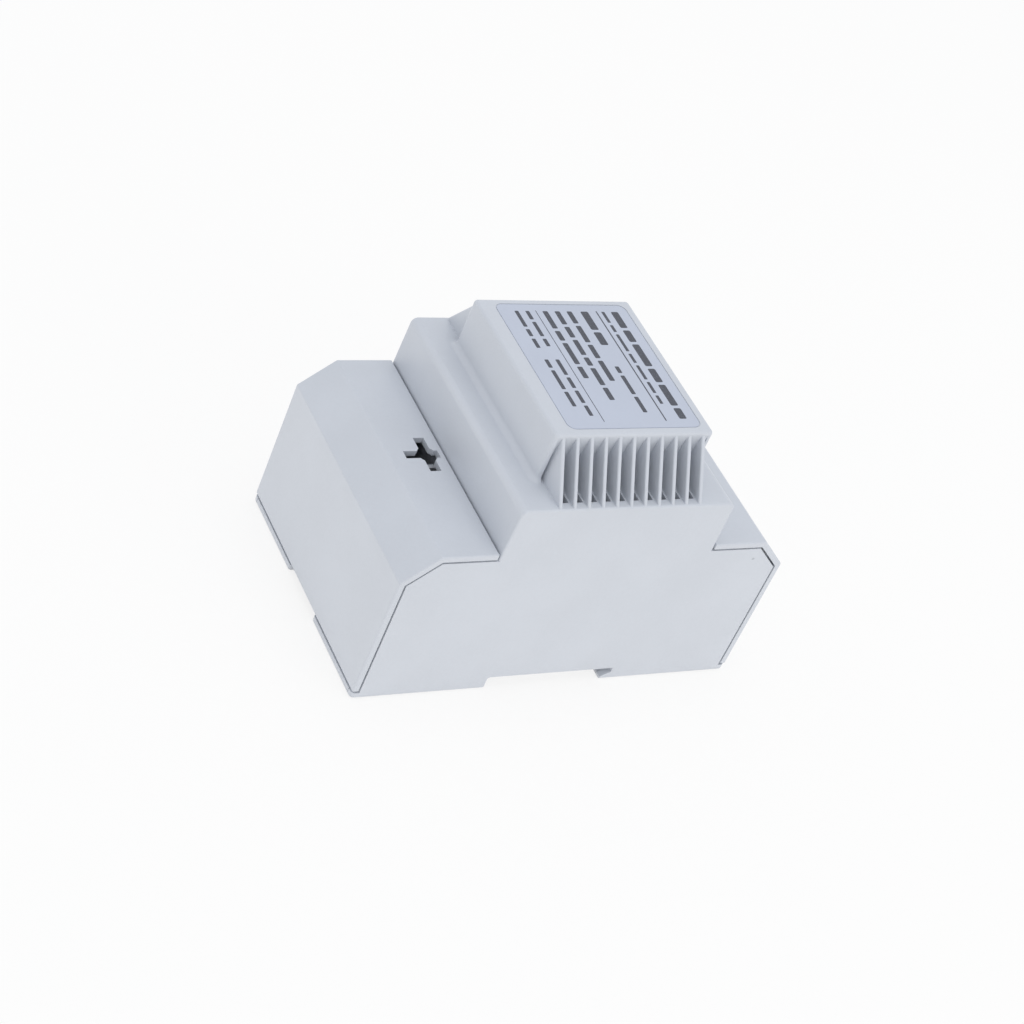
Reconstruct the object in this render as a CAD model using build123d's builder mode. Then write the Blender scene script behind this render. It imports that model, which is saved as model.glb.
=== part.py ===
"""Mains transformer for a 35 mm rail, four modules wide.

X runs along the rail, Y across it and Z up from the feet, in millimetres, with the origin under the
middle of the housing. The lamination pack lies flat with its legs along Y, and the winding stands out
of it above and below, which gives the housing its stepped nose. The mains side is at -Y.
"""

import os
from math import atan2, pi, tan

from build123d import *

# Laminations and winding
leg_width = 11.0
stack_height = 40.0
lamination_hole = 4.8
leg_clearance = 0.2
bobbin_wall = 1.2
bobbin_flange = 1.4
flange_gap = 0.4
winding_build = 7.9
winding_clearance = 0.15
winding_round = 6.0
wrap_thickness = 0.35
pin_diameter = 1.0
pin_length = 5.5
pin_socket = 3.0
pin_rail_reach = 6.7
pin_rail_height = 6.4
pin_rail_end = 2.0

# Housing walls, and the room that they leave round the laminations and the winding
wall = 1.8
core_side_gap = 0.2
core_end_gap = 0.9
under_gap = 2.7
crown_gap = 3.6
block_side_gap = 1.0
block_end_gap = 4.2
tier_spread = 0.4
tier_round = 1.8
end_round = 0.5
block_corner = 1.0
block_rim_round = 0.9
block_foot_round = 1.6

# Cooling fins, the leaning end walls behind them and the vents between their feet
fin_count = 11
fin_thickness = 1.0
fin_round = 0.4
fin_inset = 2.65
fin_rim = 1.0
fin_toe = 0.4
cheek = 1.3
recess_depth = 2.0
recess_wall = 0.9
vent_width = 2.0
vent_margin = 0.6
vent_height = 5.0

# Wings with their terminal covers
wing_depth = 24.4
ledge_height = 47.0
chamfer_run = 8.5
chamfer_rise = 8.0
cover_wall = 1.6
cover_seam = 0.5
cover_round = 0.8
cover_end_round = 0.4
cover_lip_round = 0.3
rib_thickness = 1.2
rib_depth = 2.2
rib_gap = 0.4
rib_foot = 2.0

# Sealing hole in each cover, and the post under it
seal_setback = 5.2
seal_slot_length = 11.8
seal_slot_width = 3.0
seal_keyway_width = 2.5
seal_keyway_outer = 6.1
seal_keyway_inner = 3.3
seal_hole = 5.2
seal_post = 3.6
seal_post_height = 14.0
seal_post_gap = 2.4
seal_web = 1.2
seal_pilot = 1.6

# Base and the slot for the rail
floor = 1.8
base_gap = 0.15
rail_width = 35.0
rail_depth = 3.5
rail_offset = 1.5
rail_play = 0.1
rail_lip = 1.05
hook_reach = 2.9
hook_tip = 0.9
hook_tip_setback = 0.15
latch_side = 1.5
toe_round = 0.6
toe_corner = 1.2
slot_round = 0.5
notch_round = 0.8
rest_wall = 2.0
rest_length = 8.0
rest_margin = 0.3

# Screws that hold the base to the housing
screw_diameter = 2.9
screw_length = 12.0
screw_head = 5.4
screw_head_height = 1.8
screw_head_sink = 0.3
screw_head_round = 0.5
screw_recess_length = 3.2
screw_recess_width = 0.8
screw_recess_depth = 1.1
screw_clearance = 0.25
screw_bite = 0.02
screw_edge = 1.2
pad_radius = 4.0
pad_height = 4.2
boss_radius = 3.6
boss_height = 16.0
boss_web = 2.4

# Rail latch, its channel and its spring
latch_width = 16.4
latch_gap = 0.3
latch_ground = 0.4
latch_key = 0.6
latch_thickness = 2.0
latch_roof_gap = 0.2
latch_lip = 1.4
latch_travel = 4.0
latch_tongue = 2.9
latch_tongue_height = 1.8
latch_bevel = 1.2
latch_tab = 4.0
latch_tab_height = 1.3
latch_tab_corner = 1.2
latch_slot_length = 6.0
latch_slot_width = 1.6
latch_window = 7.0
latch_end_gap = 0.4
peg_depth = 2.0
peg_setback = 4.3
spring_strip = 0.5
spring_folds = 6
spring_length = 12.0

# Terminals, measured up from the deck that they stand on and in from their outer face
wiring_space = 4.9
terminal_headroom = 4.9
terminal_gap = 0.85
terminal_width = 13.0
terminal_corner = 0.6
terminal_edge = 0.3
entry_wall = 2.6
entry_diameter = 4.2
entry_funnel = 5.8
back_wall = 2.1
cage_width = 8.0
cage_depth = 6.0
cage_wall = 1.0
cage_bend = 0.6
cage_gap = 0.3
cage_rise = 3.5
cage_ground = 3.6
wire_space = 4.4
bar_width = 4.8
bar_thickness = 1.2
bar_tail = 3.0
bar_slot_gap = 0.05
clamp_diameter = 3.0
clamp_fit = 0.08
clamp_tip_gap = 0.3
clamp_thread = 1.4
clamp_shoulder = 1.6
clamp_head = 4.7
clamp_head_height = 2.5
clamp_head_gap = 0.2
clamp_head_bore = 5.2
clamp_head_depth = 2.3
clamp_slot_width = 0.8
clamp_slot_depth = 1.2
clamp_head_edge = 0.3
clamp_tip_edge = 0.4
spigot_height = 1.2
spigot_gap = 0.15
pedestal_wall = 1.8

# Leads from the bobbin to the terminals
lead_diameter = 1.8
lead_bend = 4.0
lead_notch = 3.0

# Rating label on the crown
label_side_margin = 2.1
label_end_margin = 3.7
label_offset = 1.1
label_corner = 2.0
label_thickness = 0.15
label_recess = 0.2
label_gap = 0.25

# Sizes that follow from the laminations
core_width = 6 * leg_width
core_length = 5 * leg_width
window_length = 3 * leg_width
width = core_width + 2 * (core_side_gap + wall)
inner_half = width / 2 - wall
core_floor = rail_depth + floor + under_gap + leg_width
core_top = core_floor + stack_height
core_middle = core_floor + stack_height / 2
tier_top = core_top + core_side_gap + wall
height = core_top + leg_width + crown_gap + wall
tier_half = core_length / 2 + core_end_gap + wall
wing_wall = tier_half + tier_spread
draft = tier_spread / (tier_top - ledge_height)
length = 2 * (wing_wall + wing_depth)
block_half_x = 2 * leg_width + block_side_gap + wall
block_half_y = window_length / 2 + block_end_gap + wall
fin_pitch = 2 * (block_half_y - fin_inset) / (fin_count - 1)
fin_top = height - fin_rim
recess_foot = block_half_x - recess_depth
crown_half = block_half_x - wall
crown_foot = recess_foot - recess_wall
vent_end = inner_half - vent_margin

# Places in the wings and the base
plate_inset = cover_wall + cover_seam
partition_foot = floor + base_gap
cover_foot = floor + cover_seam
ledge_end = wing_wall + cover_seam
seal_y = wing_wall + seal_setback
base_half = inner_half - base_gap
slot_hook = rail_offset + rail_width / 2 + rail_play
slot_step = rail_offset - rail_width / 2 - latch_side
screw_x = base_half - screw_head / 2 - screw_clearance - screw_edge
screw_y = wing_wall + base_gap + pad_radius
terminal_x = screw_x - boss_radius - terminal_gap - terminal_width / 2

# Places in the latch channel, from the outside in
channel_half = latch_width / 2 + latch_gap
latch_floor = latch_ground + latch_key
latch_top = latch_floor + latch_thickness
channel_roof = latch_top + latch_roof_gap
tunnel_end = -length / 2 + plate_inset
latch_back = -length / 2 + cover_wall + latch_travel + latch_end_gap
peg_back = latch_back + peg_setback
window_back = peg_back - latch_gap
window_front = peg_back + peg_depth + spring_length + 2 * spring_strip

# Places in a terminal, upwards and then inwards
cage_foot = cage_ground
wire_floor = cage_foot + cage_wall
bar_foot = wire_floor + wire_space
bar_head = bar_foot + bar_thickness
clamp_tip = bar_head + clamp_tip_gap
cage_head_foot = clamp_tip + clamp_head_gap
cage_head = cage_head_foot + clamp_thread
pocket_roof = cage_head + cage_rise + cage_gap
head_seat = pocket_roof + clamp_shoulder
head_foot = head_seat + clamp_head_gap
head_top = head_foot + clamp_head_height
terminal_height = head_top + clamp_head_depth
deck = ledge_height - cover_wall - terminal_headroom - terminal_height
pocket_width = cage_width + 2 * cage_gap
pocket_depth = cage_depth + 2 * cage_gap
pocket_middle = entry_wall + pocket_depth / 2
terminal_depth = entry_wall + pocket_depth + back_wall
terminal_face = length / 2 - cover_wall - wiring_space
lead_in = terminal_depth + bar_tail / 2

# Places on the bobbin
flange_half_x = 2 * leg_width - flange_gap
flange_half_z = stack_height / 2 + leg_width - flange_gap
flange_face = window_length / 2 - leg_clearance
tube_half_x = leg_width + leg_clearance + bobbin_wall
tube_half_z = stack_height / 2 + leg_clearance + bobbin_wall
rail_top = core_floor - bobbin_wall
pin_z = rail_top - pin_rail_height / 2
pin_end = flange_face + pin_rail_reach + pin_length - pin_socket

terminals = [
    ("primary_live", -terminal_x, -1),
    ("primary_neutral", terminal_x, -1),
    ("secondary_a", -terminal_x, 1),
    ("secondary_b", terminal_x, 1),
]
wings = [("primary", -1), ("secondary", 1)]


def wing_outline(inset, foot):
    """Corners of the +Y wing from its foot to the ledge, inset from the covers' outer face."""
    wall_turn = atan2(chamfer_run, chamfer_rise)
    ledge_turn = pi / 2 - wall_turn
    return [
        (length / 2 - inset, foot),
        (length / 2 - inset, ledge_height - chamfer_rise - inset * tan(wall_turn / 2)),
        (length / 2 - chamfer_run - inset * tan(ledge_turn / 2), ledge_height - inset),
    ]


def mirrored(points):
    """The same corners on the -Y wing, in the order that carries an outline on."""
    return [(-y, z) for y, z in reversed(points)]


def tier_side(z):
    """Half the tier's width at a height on its drafted walls."""
    return tier_half + draft * (tier_top - z)


def wing_plane(x, side, reach):
    """Floor-level plane in a wing, at a distance from the middle, with its Y pointing inwards."""
    return Plane(origin=(x, side * reach, 0), x_dir=(-side, 0, 0), z_dir=(0, 0, 1))


def facing_out(plane, z):
    """Upright plane at a height on a wing plane's origin, looking out of the wing."""
    return Plane(origin=plane.origin + Vector(0, 0, z), x_dir=plane.x_dir, z_dir=-plane.y_dir)


# Underside of the base and side plates, from the latch side to the fixed hook
rail_slot = [
    (slot_step, 0),
    (slot_step, rail_depth),
    (slot_hook, rail_depth),
    (slot_hook, rail_depth - rail_lip),
    (slot_hook - hook_reach, hook_tip),
    (slot_hook - hook_reach + hook_tip_setback, 0),
]


def at_slot_step(corner):
    """Whether a corner of an underside outline is on the slot's latch side."""
    return abs(corner.X - slot_step) < slot_round


def at_toe(edge):
    """Whether an edge lies along the foot of a wing's end."""
    return edge.center().Z < toe_round and abs(edge.center().Y) > length / 2 - toe_round


os.makedirs("parts", exist_ok=True)


# Cooling fin, rounded along its slope
with BuildPart() as fin:
    with BuildSketch(Plane.XZ):
        with BuildLine():
            Polyline(
                (crown_foot, tier_top - wall / 2),
                (width / 2 - fin_toe, tier_top - wall / 2),
                (width / 2 - fin_toe, tier_top),
                (block_half_x, fin_top),
                (crown_foot, fin_top),
                close=True,
            )
        make_face()
    extrude(amount=fin_thickness / 2, both=True)
    slope_edges = fin.edges().sort_by(SortBy.LENGTH)[-2:]
    fillet(slope_edges, fin_round)


# Housing: tier, label block with its fins, partitions and side plates in one moulding
skirt = ledge_height - cover_wall - cover_seam - wall
with BuildPart() as housing:
    with BuildSketch(Plane.YZ):
        with BuildLine():
            Polyline(
                (-tier_side(skirt), skirt),
                (-tier_half, tier_top),
                (tier_half, tier_top),
                (tier_side(skirt), skirt),
                close=True,
            )
        make_face()
    extrude(amount=width / 2, both=True)
    fillet(housing.edges().filter_by(Axis.X).group_by(Axis.Z)[-1], tier_round)
    end_edges = housing.faces().filter_by(Axis.X).edges().filter_by(lambda edge: edge.center().Z > skirt)
    fillet(end_edges, end_round)

    # Label block on the tier
    with BuildSketch(Plane.XY.offset(tier_top - wall)):
        RectangleRounded(2 * block_half_x, 2 * block_half_y, block_corner)
    extrude(amount=height - tier_top + wall)
    fillet(housing.faces().sort_by(Axis.Z)[-1].edges(), block_rim_round)
    foot_edges = housing.edges().filter_by(
        lambda edge: abs(edge.center().Z - tier_top) < wall / 10
        and abs(edge.center().X) <= block_half_x
        and abs(edge.center().Y) <= block_half_y
    )
    fillet(foot_edges, block_foot_round)

    # Recess between the cheeks at both ends of the block, with its wall leaning in, and the fins in it
    with BuildSketch(Plane.XZ):
        with BuildLine():
            Polyline(
                (block_half_x, fin_top),
                (recess_foot, tier_top),
                (width / 2, tier_top),
                (width / 2, fin_top),
                close=True,
            )
        make_face()
        mirror(about=Plane.YZ)
    extrude(amount=block_half_y - cheek, both=True, mode=Mode.SUBTRACT)
    with GridLocations(0, fin_pitch, 1, fin_count):
        with PolarLocations(0, 2):
            add(fin.part)

    # Partitions under the tier walls, and the side plates with their rail slot
    with BuildSketch(Plane.XY.offset(partition_foot)):
        with GridLocations(0, 2 * wing_wall - wall, 1, 2):
            Rectangle(2 * inner_half + wall, wall)
    extrude(amount=ledge_height - partition_foot)
    side_corners = wing_outline(plate_inset, floor)
    with BuildSketch(Plane.YZ.offset(inner_half), Plane.YZ.offset(-width / 2)) as side_plates:
        with BuildLine():
            Polyline(
                (length / 2, 0),
                (length / 2, floor),
                *side_corners,
                *mirrored(side_corners),
                (-length / 2, floor),
                (-length / 2, 0),
                *rail_slot,
                close=True,
            )
        make_face()
        fillet(side_plates.vertices().filter_by(at_slot_step), slot_round)
    extrude(amount=wall)
    toe_corners = housing.edges().filter_by(Axis.Z).filter_by(
        lambda edge: abs(edge.center().X) > inner_half + wall / 2
        and abs(edge.center().Y) > tier_half + wing_depth
    )
    fillet(toe_corners, toe_corner)
    fillet(housing.edges().filter_by(Axis.X).filter_by(at_toe), toe_round)

    # Room for the lamination pack and the winding
    with BuildSketch(Plane.YZ):
        with BuildLine():
            Polyline(
                (-wing_wall + wall, -floor),
                (-wing_wall + wall, ledge_height),
                (-tier_half + wall, tier_top - wall),
                (tier_half - wall, tier_top - wall),
                (wing_wall - wall, ledge_height),
                (wing_wall - wall, -floor),
                close=True,
            )
        make_face()
    extrude(amount=inner_half, both=True, mode=Mode.SUBTRACT)
    with BuildSketch(Plane.XZ):
        with BuildLine():
            Polyline(
                (-crown_half, height - wall),
                (crown_half, height - wall),
                (crown_foot, tier_top),
                (crown_foot, tier_top - 2 * wall),
                (-crown_foot, tier_top - 2 * wall),
                (-crown_foot, tier_top),
                close=True,
            )
        make_face()
    extrude(amount=block_half_y - wall, both=True, mode=Mode.SUBTRACT)

    # Vents in the shelf between the fins, running up into the end walls
    with BuildSketch(Plane.XY.offset(tier_top - wall)):
        with GridLocations(0, fin_pitch, 1, fin_count - 1):
            Rectangle(2 * vent_end, vent_width)
    extrude(amount=wall + vent_height, mode=Mode.SUBTRACT)

    # Notches in the partitions for the leads and the latch tunnel
    with BuildSketch(Plane.XZ):
        with Locations((0, pin_z / 2 + lead_notch / 4)):
            with GridLocations(2 * terminal_x, 0, 2, 1):
                Rectangle(lead_notch, pin_z + lead_notch / 2)
    extrude(amount=wing_wall, both=True, mode=Mode.SUBTRACT)
    with BuildSketch(Plane.XZ):
        with Locations((0, (channel_roof + floor + base_gap) / 2)):
            Rectangle(2 * (channel_half + floor + base_gap), channel_roof + floor + base_gap)
    extrude(amount=wing_wall, mode=Mode.SUBTRACT)

    # Bosses for the base screws, webbed into the corners
    with BuildSketch(Plane.XY.offset(pad_height)):
        with GridLocations(2 * screw_x, 2 * screw_y, 2, 2):
            Circle(boss_radius)
        with GridLocations(screw_x + inner_half, 2 * screw_y, 2, 2):
            Rectangle(inner_half - screw_x, boss_web)
        with GridLocations(2 * screw_x, screw_y + wing_wall, 2, 2):
            Rectangle(boss_web, screw_y - wing_wall)
    extrude(amount=boss_height)
    with Locations(Plane.XY.offset(pad_height + boss_height)):
        with GridLocations(2 * screw_x, 2 * screw_y, 2, 2):
            Hole(screw_diameter / 2 + screw_bite, depth=boss_height)

    # Sealing posts on the partitions
    post_top = ledge_height - cover_wall - seal_post_gap
    with BuildSketch(Plane.XY.offset(post_top - seal_post_height)):
        with GridLocations(0, 2 * seal_y, 1, 2):
            Circle(seal_post / 2)
        with GridLocations(0, seal_y + wing_wall, 1, 2):
            Rectangle(seal_web, seal_y - wing_wall)
    extrude(amount=seal_post_height)
    with Locations(Plane.XY.offset(post_top)):
        with GridLocations(0, 2 * seal_y, 1, 2):
            Hole(seal_pilot / 2, depth=seal_post_height)

    # Shallow seat for the label
    with BuildSketch(Plane.XY.offset(height)):
        with Locations((0, label_offset)):
            RectangleRounded(
                2 * (block_half_x - label_side_margin + label_gap),
                2 * (block_half_y - label_end_margin + label_gap),
                label_corner + label_gap,
            )
    extrude(amount=-label_recess, mode=Mode.SUBTRACT)
housing.part.label = "housing"
export_step(housing.part, "parts/housing.step")


# Rating label
with BuildPart() as rating_label:
    with BuildSketch(Plane.XY.offset(height - label_recess)):
        with Locations((0, label_offset)):
            RectangleRounded(
                2 * (block_half_x - label_side_margin),
                2 * (block_half_y - label_end_margin),
                label_corner,
            )
    extrude(amount=label_thickness)
rating_label.part.label = "rating_label"
export_step(rating_label.part, "parts/rating_label.step")


# Base: floor, rail slot with its fixed hook, latch tunnel, pedestals and core rests
with BuildPart() as base:
    with BuildSketch(Plane.YZ) as underside:
        with BuildLine():
            Polyline(
                (length / 2, 0),
                (length / 2, floor),
                (slot_hook + floor, floor),
                (slot_hook + floor, rail_depth + floor),
                (slot_step - floor, rail_depth + floor),
                (slot_step - floor, floor),
                (-length / 2, floor),
                (-length / 2, 0),
                *rail_slot,
                close=True,
            )
        make_face()
        fillet(underside.vertices().filter_by(at_slot_step), slot_round)
    extrude(amount=base_half, both=True)

    # Notch in the latch side's foot, with rounded ends
    with BuildSketch(Plane.XY):
        with Locations((0, -length / 2)):
            Rectangle(2 * channel_half, 2 * cover_wall)
    extrude(amount=floor, mode=Mode.SUBTRACT)
    notch_ends = base.edges().filter_by(Axis.Z).group_by(Axis.Y)[0].filter_by(
        lambda edge: abs(edge.center().X) < channel_half + notch_round
    )
    fillet(notch_ends, notch_round)
    fillet(base.edges().filter_by(Axis.X).filter_by(at_toe), toe_round)

    # Pedestals for the terminals, cored from below
    with BuildSketch(Plane.XY):
        with GridLocations(2 * terminal_x, 2 * terminal_face - terminal_depth, 2, 2):
            Rectangle(terminal_width, terminal_depth)
    extrude(amount=deck)
    with BuildSketch(Plane.XY):
        with GridLocations(2 * terminal_x, 2 * terminal_face - terminal_depth, 2, 2):
            Rectangle(terminal_width - 2 * pedestal_wall, terminal_depth - 2 * pedestal_wall)
    extrude(amount=deck - pedestal_wall, mode=Mode.SUBTRACT)
    with BuildSketch(Plane.XY.offset(deck)):
        with GridLocations(2 * terminal_x, 2 * (terminal_face - pocket_middle), 2, 2):
            Rectangle(pocket_width - 2 * spigot_gap, pocket_depth - 2 * spigot_gap)
    extrude(amount=spigot_height)

    # Corner rests that the lamination pack stands on
    rest_half_x = base_half - rest_margin
    rest_half_y = core_length / 2 - rest_margin
    with BuildSketch(Plane.XY):
        Rectangle(2 * rest_half_x, 2 * rest_half_y)
        Rectangle(2 * (rest_half_x - rest_wall), 2 * (rest_half_y - rest_wall), mode=Mode.SUBTRACT)
        Rectangle(2 * (rest_half_x - rest_length), 2 * rest_half_y, mode=Mode.SUBTRACT)
        Rectangle(2 * rest_half_x, 2 * (rest_half_y - rest_length), mode=Mode.SUBTRACT)
    extrude(amount=core_floor)

    # Pads and sunk holes for the screws
    with BuildSketch(Plane.XY):
        with GridLocations(2 * screw_x, 2 * screw_y, 2, 2):
            Circle(pad_radius)
    extrude(amount=pad_height)
    with Locations(Plane(origin=(0, 0, 0), x_dir=(1, 0, 0), z_dir=(0, 0, -1))):
        with GridLocations(2 * screw_x, 2 * screw_y, 2, 2):
            CounterBoreHole(
                radius=screw_diameter / 2 + screw_clearance,
                counter_bore_radius=screw_head / 2 + screw_clearance,
                counter_bore_depth=screw_head_height + screw_head_sink,
                depth=pad_height,
            )

    # Latch tunnel with its channel, keeping lips and stop peg
    with BuildSketch(Plane.XY):
        with Locations((0, (tunnel_end + slot_step) / 2)):
            Rectangle(2 * (channel_half + floor), slot_step - tunnel_end)
    extrude(amount=channel_roof + floor)
    with BuildSketch(Plane.XY):
        with Locations((0, (slot_step - length / 2 - floor) / 2)):
            Rectangle(2 * channel_half, length / 2 + floor + slot_step)
    extrude(amount=channel_roof, mode=Mode.SUBTRACT)
    with BuildSketch(Plane.XY):
        with Locations((0, (latch_back + slot_step - floor) / 2)):
            with GridLocations(2 * channel_half - latch_lip, 0, 2, 1):
                Rectangle(latch_lip, slot_step - floor - latch_back)
    extrude(amount=latch_floor - latch_roof_gap)
    with BuildSketch(Plane.XY.offset(latch_floor)):
        with Locations((0, peg_back + peg_depth / 2)):
            Rectangle(latch_window - 2 * latch_gap, peg_depth)
    extrude(amount=channel_roof - latch_floor)
base.part.label = "base"
export_step(base.part, "parts/base.step")


# Screws that hold the base to the housing
with BuildPart() as base_screws:
    with BuildSketch(Plane.XY.offset(screw_head_sink)):
        with GridLocations(2 * screw_x, 2 * screw_y, 2, 2):
            Circle(screw_head / 2)
    extrude(amount=screw_head_height)
    with BuildSketch(Plane.XY.offset(screw_head_sink)):
        with GridLocations(2 * screw_x, 2 * screw_y, 2, 2):
            Circle(screw_diameter / 2)
    extrude(amount=screw_head_height + screw_length)
    fillet(base_screws.edges().filter_by(GeomType.CIRCLE).group_by(Axis.Z)[0], screw_head_round)
    with BuildSketch(Plane.XY.offset(screw_head_sink)):
        with GridLocations(2 * screw_x, 2 * screw_y, 2, 2):
            Rectangle(screw_recess_length, screw_recess_width)
            Rectangle(screw_recess_width, screw_recess_length)
    extrude(amount=screw_recess_depth, mode=Mode.SUBTRACT)
base_screws.part.label = "base_screws"
export_step(base_screws.part, "parts/base_screws.step")


# Terminal covers, one over each wing
for wing, side in wings:
    outer_corners = wing_outline(0, cover_foot)
    inner_corners = wing_outline(cover_wall, cover_foot)
    rib_outer = wing_outline(cover_wall, cover_foot + rib_foot)
    rib_inner = wing_outline(cover_wall + rib_depth, cover_foot + rib_foot)
    section = Plane(origin=(0, 0, 0), x_dir=(0, side, 0), z_dir=(side, 0, 0))
    with BuildPart() as terminal_cover:
        with BuildSketch(section):
            with BuildLine():
                Polyline(*outer_corners, (ledge_end, ledge_height), (ledge_end, cover_foot), close=True)
            make_face()
        extrude(amount=width / 2, both=True)
        folds = terminal_cover.edges().filter_by(Axis.X).filter_by(
            lambda edge: edge.center().Z > cover_foot + cover_round
            and abs(edge.center().Y) > ledge_end + cover_round
        )
        fillet(folds, cover_round)
        ends = terminal_cover.faces().filter_by(Axis.X).edges().filter_by(
            lambda edge: edge.center().Z > cover_foot + cover_round
            and abs(edge.center().Y) > ledge_end + cover_round
        )
        fillet(ends, cover_end_round)
        levels = terminal_cover.edges().filter_by(Axis.X).group_by(Axis.Z)
        foot_lip = levels[0].sort_by(lambda edge: abs(edge.center().Y))[-1]
        ledge_lip = levels[-1].sort_by(lambda edge: abs(edge.center().Y))[0]
        fillet([foot_lip, ledge_lip], cover_lip_round)
        with BuildSketch(section):
            with BuildLine():
                Polyline(
                    *inner_corners,
                    (ledge_end - cover_wall, ledge_height - cover_wall),
                    (ledge_end - cover_wall, cover_foot),
                    close=True,
                )
            make_face()
        extrude(amount=width, both=True, mode=Mode.SUBTRACT)

        # Stiffening ribs that also locate the cover between the side plates
        rib_face = inner_half - rib_gap
        with BuildSketch(section.offset(rib_face - rib_thickness), section.offset(-rib_face)):
            with BuildLine():
                Polyline(
                    *rib_outer,
                    (ledge_end + rib_foot, ledge_height - cover_wall),
                    (ledge_end + rib_foot, ledge_height - cover_wall - rib_depth),
                    *reversed(rib_inner),
                    close=True,
                )
            make_face()
        extrude(amount=rib_thickness)

        # Cross-shaped sealing hole
        with BuildSketch(wing_plane(0, side, seal_y).offset(ledge_height)):
            Circle(seal_hole / 2)
            Rectangle(seal_slot_length, seal_slot_width)
            with Locations((0, (seal_keyway_inner - seal_keyway_outer) / 2)):
                Rectangle(seal_keyway_width, seal_keyway_inner + seal_keyway_outer)
        extrude(amount=-cover_wall, mode=Mode.SUBTRACT)
    terminal_cover.part.label = f"{wing}_terminal_cover"
    export_step(terminal_cover.part, f"parts/{wing}_terminal_cover.step")


# Rail latch: keyed slider with a tongue for the rail and a slotted pull tab
with BuildPart() as rail_latch:
    latch_front = slot_step - latch_gap
    with BuildSketch(Plane.XZ.offset(-latch_front)):
        with Locations((0, latch_floor + latch_thickness / 2)):
            Rectangle(latch_width, latch_thickness)
        with Locations((0, latch_ground + latch_key / 2)):
            Rectangle(2 * (channel_half - latch_lip - latch_gap), latch_key)
    extrude(amount=latch_front - latch_back)
    tongue_half = channel_half - latch_lip - latch_gap
    tongue_top = latch_ground + latch_tongue_height
    with BuildSketch(Plane.YZ.offset(-tongue_half)):
        with BuildLine():
            Polyline(
                (latch_front, latch_ground),
                (slot_step + latch_tongue - latch_bevel, latch_ground),
                (slot_step + latch_tongue, latch_ground + latch_bevel),
                (slot_step + latch_tongue, tongue_top),
                (latch_front, tongue_top),
                close=True,
            )
        make_face()
    extrude(amount=2 * tongue_half)
    with BuildSketch(Plane.XY.offset(latch_ground)):
        with Locations((0, latch_back - latch_tab / 2)):
            Rectangle(2 * tongue_half, latch_tab)
            Rectangle(latch_slot_length, latch_slot_width, mode=Mode.SUBTRACT)
    extrude(amount=latch_tab_height)
    fillet(rail_latch.edges().filter_by(Axis.Z).group_by(Axis.Y)[0], latch_tab_corner)
    with BuildSketch(Plane.XY.offset(latch_ground)):
        with Locations((0, (window_back + window_front) / 2)):
            Rectangle(latch_window, window_front - window_back)
    extrude(amount=latch_key + latch_thickness, mode=Mode.SUBTRACT)
rail_latch.part.label = "rail_latch"
export_step(rail_latch.part, "parts/rail_latch.step")


# Latch spring: a folded strip between the stop peg and the front of the latch's window
with BuildPart() as latch_spring:
    spring_half = latch_window / 2 - latch_gap - 2 * spring_strip
    spring_back = peg_back + peg_depth + spring_strip
    fold_pitch = spring_length / (spring_folds + 1)
    fold_points = [
        (spring_half * (-1) ** fold, spring_back + fold_pitch * (fold + 0.5))
        for fold in range(1, spring_folds)
    ]
    with BuildSketch(Plane.XY.offset(latch_floor + latch_roof_gap)):
        with BuildLine():
            Polyline(
                (-spring_half, spring_back),
                (spring_half, spring_back),
                *fold_points,
                (-spring_half, spring_back + spring_length),
                (spring_half, spring_back + spring_length),
            )
        trace(line_width=spring_strip)
    extrude(amount=latch_thickness - 2 * latch_roof_gap)
latch_spring.part.label = "latch_spring"
export_step(latch_spring.part, "parts/latch_spring.step")


# Lamination pack: an E stack and an I stack
hole_spacing_x = core_width - leg_width
hole_spacing_y = core_length - leg_width
with BuildPart() as e_laminations:
    with BuildSketch(Plane.XY.offset(core_floor)):
        with Locations((0, -leg_width / 2)):
            Rectangle(core_width, core_length - leg_width)
        with GridLocations(window_length, 0, 2, 1):
            Rectangle(leg_width, window_length, mode=Mode.SUBTRACT)
        with Locations((0, -hole_spacing_y / 2)):
            with GridLocations(hole_spacing_x, 0, 2, 1):
                Circle(lamination_hole / 2, mode=Mode.SUBTRACT)
    extrude(amount=stack_height)
e_laminations.part.label = "e_laminations"
export_step(e_laminations.part, "parts/e_laminations.step")

with BuildPart() as i_laminations:
    with BuildSketch(Plane.XY.offset(core_floor)):
        with Locations((0, hole_spacing_y / 2)):
            Rectangle(core_width, leg_width)
            with GridLocations(hole_spacing_x, 0, 2, 1):
                Circle(lamination_hole / 2, mode=Mode.SUBTRACT)
    extrude(amount=stack_height)
i_laminations.part.label = "i_laminations"
export_step(i_laminations.part, "parts/i_laminations.step")


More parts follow.
